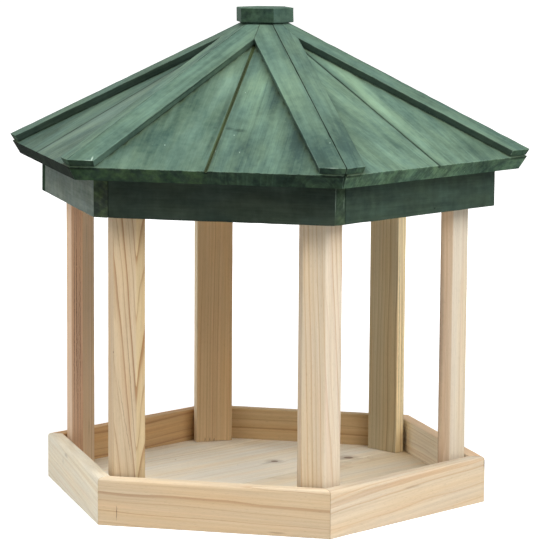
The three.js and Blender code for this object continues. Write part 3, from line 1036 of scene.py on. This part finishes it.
def nearness(node):
    """The function that gives the distances of a point on this board to its joints."""
    side = roof_side(node)
    if node.startswith("roof_board_"):
        panel = panel_axes(side)
        seam = SEAM_SHIFT.get(side, 0)
        edges = [strip_edge(side, end) for end in ("left", "right")]
        return lambda point: near_seam(point, panel, seam, edges)
    if side and hip_corner(node) != PLAIN_HIP:
        return lambda point: near_hip(point, side)
    return lambda point: (FAR, FAR)


def raw_share(node, face, across):
    """How bright a face is in the front seam, where little stain reached the sawn sides; the two sides differ
    as painted light and shade.
    """
    sign, share = RAW_SIDE_LIGHT.get(node, (0, 0))
    return share if face.normal.dot(across) * sign < -RAW_SIDE_SHARE else 0.0


def set_points(mesh, node, board_look, seed):
    """Stores for each point its place in the grain, its finish, which is partly painted light, and its
    distances to the joints.
    """
    middle, along, across, outward = board_grain(node)
    pith_across, pith_out = board_look.pith
    tilt_across, tilt_out = board_look.tilt
    side = roof_side(node)
    tones = [(panel_point(side, *place), *rest) for place, *rest in ROOF_TONES.get(node, ())]
    distances = nearness(node)
    grain, near, finish = [], [], []
    for vertex in mesh.vertices:
        point = vertex.co / MM
        offset = point - middle
        run = offset.dot(along)
        grain += (
            run + seed * GRAIN_STRIDE,
            offset.dot(across) - pith_across + tilt_across * run,
            offset.dot(outward) - pith_out + tilt_out * run,
        )
        near += (*distances(point), 0.0)
        finish += (board_look.end_shade, board_look.worn, tone_at(point, along, across, tones))
    count = len(mesh.vertices)
    rings = (board_look.spacing, board_look.contrast, board_look.olive) * count
    for name, values in (("grain", grain), ("near", near), ("finish", finish), ("rings", rings)):
        set_values(mesh, name, "FLOAT_VECTOR", values)
    for name, colour in (("early", board_look.early), ("late", board_look.late)):
        set_values(mesh, name, "FLOAT_COLOR", (*linear(*colour), 1.0) * count)


def set_faces(mesh, node, board_look):
    """Stores for each face whether it is end grain or raw, and its tint, which is painted light and shade."""
    _, along, across, _ = board_grain(node)
    end, raw_and_lit, tint = [], [], []
    for face in mesh.polygons:
        end.append(1.0 if abs(face.normal.dot(along)) > SIDE_SHARE else 0.0)
        raw_and_lit.append(raw_share(node, face, across))
        # Faces across the grain, such as a strip's inner wall, get the board's painted shade
        is_side = abs(face.normal.dot(across)) > SIDE_SHARE
        painted_shade = board_look.side_shade if is_side else 1.0
        tint += [painted_shade * value for value in painted_face_light(node, face.normal)]
    set_values(mesh, "end", "FLOAT", end, "FACE")
    set_values(mesh, "raw_and_lit", "FLOAT", raw_and_lit, "FACE")
    set_values(mesh, "tint", "FLOAT_VECTOR", tint, "FACE")


def wooden_piece(node, material, slot_name, seed, ease, wobble, nick, step, shortest=2.5):
    """One CAD board as a worn board with its own grain."""
    bm = bmesh.new()
    bm.from_mesh(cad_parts[node].data)
    bmesh.ops.remove_doubles(bm, verts=bm.verts, dist=MERGE_DISTANCE)
    bmesh.ops.dissolve_limit(bm, angle_limit=COPLANAR_ANGLE, verts=bm.verts, edges=bm.edges)
    if node.startswith("roof_board_"):
        close_hip(bm, node)
        close_seam(bm, node)
    edge_layer = ease_edges(bm, node, ease, shortest)
    _, along, across, _ = board_grain(node)
    slice_along(bm, along, step)
    slice_along(bm, across, step)
    if node == "cap":
        shift_cap_corner(bm)
    wear(bm, edge_layer, wobble, nick, seed)
    keep_inside(bm)
    mesh = mesh_of(bm, node + "_wood")
    board_look = look_of(node)
    set_points(mesh, node, board_look, seed)
    set_faces(mesh, node, board_look)
    new_piece(mesh, material, node)


# Material and slot of each kind of board, and its ease, wobble, nick and step in mm. An edge shorter
# than the last value stays sharp
KINDS = (
    ("floor_board_", bare_floor, "bare_wood", 0.5, 0.1, 0.2, 12),
    ("rim_board_", bare_rim, "bare_wood", 0.35, 0.12, 0.3, 9, 0.3),
    ("post_", bare_post, "bare_wood", 0.7, 0.15, 0.5, 9),
    ("top_rail_", bare_rim, "bare_wood", 0.6, 0.12, 0.3, 14),
    ("fascia_board_", stained_fascia, "stained_wood", 0.7, 0.15, 0.5, 9),
    ("roof_board_", stained_roof, "stained_wood", 0.6, 0.15, 0.5, 8),
    ("hip_strip_", stained_roof, "stained_wood", 0.6, 0.15, 0.6, 8),
    ("peak_block", bare_rim, "bare_wood", 0.8, 0.12, 0.4, 10),
    ("cap", stained_roof, "stained_wood", 0.8, 0.3, 1.0, 5),
)
SCREWS = sorted(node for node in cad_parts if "screw" in node)
BOARDS = sorted(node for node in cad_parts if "screw" not in node)

seed = 0
for prefix, material, slot_name, *sizes in KINDS:
    for node in BOARDS:
        if node.startswith(prefix):
            seed += 1
            wooden_piece(node, material, slot_name, seed, *sizes)


# Screws with a cross recess and a thread, in mm
SCREW_SIDES = 24
SCREW_HEAD_RADIUS = 3.9
SCREW_HEAD_EASE = 0.25
SCREW_SHANK_RADIUS = 1.9
SCREW_ROOT_RADIUS = 1.35
SCREW_HEAD_HEIGHT = 2.6
SCREW_PITCH = 2.2
SCREW_TIP = 4.0
RECESS_REACH = 2.1
RECESS_HALF_WIDTH = 0.5
RECESS_DEPTH = 1.7
RECESS_OVERRUN = 0.5
RECESS_TAPER = 0.45


def join_rings(bm, lower, upper, count):
    """Faces between two rings of so many points, or between a ring and a single point."""
    for index in range(count):
        corners = [lower[index % len(lower)], lower[(index + 1) % len(lower)]]
        corners += [upper[(index + 1) % len(upper)], upper[index % len(upper)]]
        bm.faces.new(list(dict.fromkeys(corners)))


def lathe(bm, profile, sides):
    """Turns (radius, height) points round Z. The first and last radius may be 0."""
    rings = []
    for radius, height in profile:
        angles = [2 * pi * index / sides for index in range(sides if radius else 1)]
        rings.append([bm.verts.new((radius * cos(angle), radius * sin(angle), height)) for angle in angles])
    for lower, upper in zip(rings, rings[1:]):
        join_rings(bm, lower, upper, sides)


def screw_profile(length):
    """Radii and heights of a countersunk screw whose head is at the bottom."""
    points = [(0, 0), (SCREW_HEAD_RADIUS - SCREW_HEAD_EASE, 0), (SCREW_HEAD_RADIUS, SCREW_HEAD_EASE)]
    points += [(SCREW_SHANK_RADIUS, SCREW_HEAD_HEIGHT)]
    height = SCREW_HEAD_HEIGHT + SCREW_PITCH
    root, half_ridge = SCREW_ROOT_RADIUS, SCREW_PITCH / 4
    while height < length - SCREW_TIP:
        points += [(root, height - half_ridge), (SCREW_SHANK_RADIUS, height), (root, height + half_ridge)]
        height += SCREW_PITCH
    return [*points, (root, length - SCREW_TIP), (0, length)]


def recess_mesh():
    """The cross as a tapered solid that reaches out of the head."""
    arm, half = RECESS_REACH, RECESS_HALF_WIDTH
    quarter_corners = ((arm, -half), (arm, half), (half, half))
    turns = [Matrix.Rotation(quarter * pi / 2, 2) for quarter in range(4)]
    outline = [turn @ Vector(corner) for turn in turns for corner in quarter_corners]
    bm = bmesh.new()
    mouth = [bm.verts.new((point.x, point.y, -RECESS_OVERRUN)) for point in outline]
    foot = [bm.verts.new((point.x * RECESS_TAPER, point.y * RECESS_TAPER, RECESS_DEPTH)) for point in outline]
    join_rings(bm, mouth, foot, len(outline))
    bm.faces.new(list(reversed(mouth)))
    bm.faces.new(foot)
    bmesh.ops.recalc_face_normals(bm, faces=bm.faces)
    return mesh_of(bm, "recess")


def cut(mesh, cutter_mesh):
    """The mesh with the cutter taken out of it."""
    body = add_object("cut_body", mesh)
    cutter = add_object("cut_tool", cutter_mesh)
    modifier = body.modifiers.new("cut", "BOOLEAN")
    modifier.operation = "DIFFERENCE"
    modifier.solver = "EXACT"
    modifier.object = cutter
    bpy.context.view_layer.update()
    depsgraph = bpy.context.evaluated_depsgraph_get()
    result = bpy.data.meshes.new_from_object(body.evaluated_get(depsgraph))
    for item in (body, cutter):
        bpy.data.objects.remove(item)
    return result


def screw_mesh(name, length):
    bm = bmesh.new()
    lathe(bm, screw_profile(length), SCREW_SIDES)
    bmesh.ops.recalc_face_normals(bm, faces=bm.faces)
    mesh = cut(mesh_of(bm, "uncut_screw"), recess_mesh())
    mesh.name = name
    mesh.transform(Matrix.Scale(MM, 4))
    return mesh


for node in SCREWS:
    low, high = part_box(node)
    mesh = screw_mesh(node + "_steel", (high.z - low.z) / MM)
    middle = (low + high) / 2
    mesh.transform(Matrix.Translation((middle.x, middle.y, low.z)))
    new_piece(mesh, zinc, node)


# The floor, in m, pure white to the camera where no shadow falls
WHITE = (1, 1, 1, 1)
FLOOR_RADIUS = 30.0
FLOOR_SIDES = 64
FLOOR_DROP = 0.2 * MM
FLOOR_GREY = 0.82
FLOOR_SWING = 0.02
FLOOR_GRAIN_SCALE = 40.0
FLOOR_LIFT = 0.50
FLOOR_LIFT_REACH = (0.4, 1.6)


def background_rays(graph):
    """1 for the rays that show the background: from the camera, off gloss and through glass."""
    paths = graph.add("LightPath").outputs
    mirrored = graph.math("MAXIMUM", paths["Is Glossy Ray"], paths["Is Transmission Ray"])
    return graph.math("MAXIMUM", paths["Is Camera Ray"], mirrored)


def floor_material():
    """Pale grey paint, lifted to white further out and clear from below."""
    material, graph = new_material("studio_floor_look")
    place = graph.object_place()
    grain = graph.noise(graph.scaled(place, FLOOR_GRAIN_SCALE), 3.0, 0.5)
    tone = graph.math("MULTIPLY_ADD", grain, FLOOR_SWING, FLOOR_GREY - FLOOR_SWING / 2)
    paint = graph.call("BsdfDiffuse", graph.call("CombineColor", tone, tone, tone))
    lift = graph.stretch(graph.vector("LENGTH", place), *FLOOR_LIFT_REACH, FLOOR_LIFT, 1.0)
    glow = graph.call("Emission", WHITE, graph.product(background_rays(graph), lift))
    both = graph.call("AddShader", paint, glow)
    is_back = graph.add("NewGeometry").outputs["Backfacing"]
    below = graph.product(is_back, graph.add("LightPath").outputs["Is Camera Ray"])
    choice = graph.call("MixShader", below, both, graph.call("BsdfTransparent"))
    graph.end(choice, "OutputMaterial")
    return material


bm = bmesh.new()
bmesh.ops.create_circle(bm, cap_ends=True, segments=FLOOR_SIDES, radius=FLOOR_RADIUS)
floor_mesh = mesh_of(bm, "studio_floor")
floor_mesh.transform(Matrix.Translation((0, 0, -FLOOR_DROP)))
floor_mesh.materials.append(floor_material())
floor = add_object("studio_floor", floor_mesh)


# The studio: white to the camera, with its light from the lamps above the camera's side
WORLD_LEVEL = 0.10
SWEEP_LEVEL = 0.7
SWEEP_DIRECTION = (-0.10, 0.98, 0.17)
SWEEP_EDGES = (0.6, 0.97)

world = bpy.data.worlds.new("studio")
bpy.context.scene.world = world
graph = Graph(world)
facing = graph.vector("DOT_PRODUCT", graph.add("TexCoord").outputs["Generated"], SWEEP_DIRECTION)
level = graph.stretch(facing, *SWEEP_EDGES, WORLD_LEVEL, SWEEP_LEVEL)
level = graph.math("MAXIMUM", level, background_rays(graph))
graph.end(graph.call("Background", WHITE, level), "OutputWorld")


LAMP_DISTANCE = 2.8
AIM = Vector((0, 0, 0.25))
# Plan angle and height in degrees, width in m, and the light on a surface that faces the lamp
LAMPS = {
    "front_right": (-45, 38, 1.7, 0.63),
    "front_high": (-92, 60, 1.7, 0.41),
    "front_left": (-138, 42, 1.5, 0.27),
    "left": (175, 30, 1.5, 0.25),
    "right": (-5, 30, 1.5, 0.30),
}


def softbox(name, degrees, height, size, level):
    """A square lamp that lights a surface facing it at the object to this level."""
    rise = radians(height)
    direction = plan(degrees) * cos(rise) + UP * sin(rise)
    lamp = bpy.data.lights.new(name, "AREA")
    lamp.shape = "SQUARE"
    lamp.size = size
    lamp.energy = level * pi ** 2 * LAMP_DISTANCE ** 2
    item = add_object(name, lamp)
    item.location = AIM + direction * LAMP_DISTANCE
    item.rotation_euler = (-direction).to_track_quat("-Z", "Y").to_euler()


for name, settings in LAMPS.items():
    softbox("lamp_" + name, *settings)


# The camera stands where the photograph was taken, turned round X, Y and Z by these degrees
CAMERA_PLACE = Vector((643.797, -2656.671, 606.255)) * MM
CAMERA_TURN = (81.886, -0.380, 13.544)
CAMERA_LENS = 189.70
CAMERA_SENSOR = 36
CAMERA_REACH = 100

camera_data = bpy.data.cameras.new("camera")
camera_data.lens = CAMERA_LENS
camera_data.sensor_width = CAMERA_SENSOR
camera_data.clip_end = CAMERA_REACH
camera = add_object("camera", camera_data)
turn = Euler([radians(degrees) for degrees in CAMERA_TURN])
camera.matrix_world = Matrix.Translation(CAMERA_PLACE) @ turn.to_matrix().to_4x4()
bpy.context.scene.camera = camera
bpy.context.scene.view_settings.view_transform = "Standard"
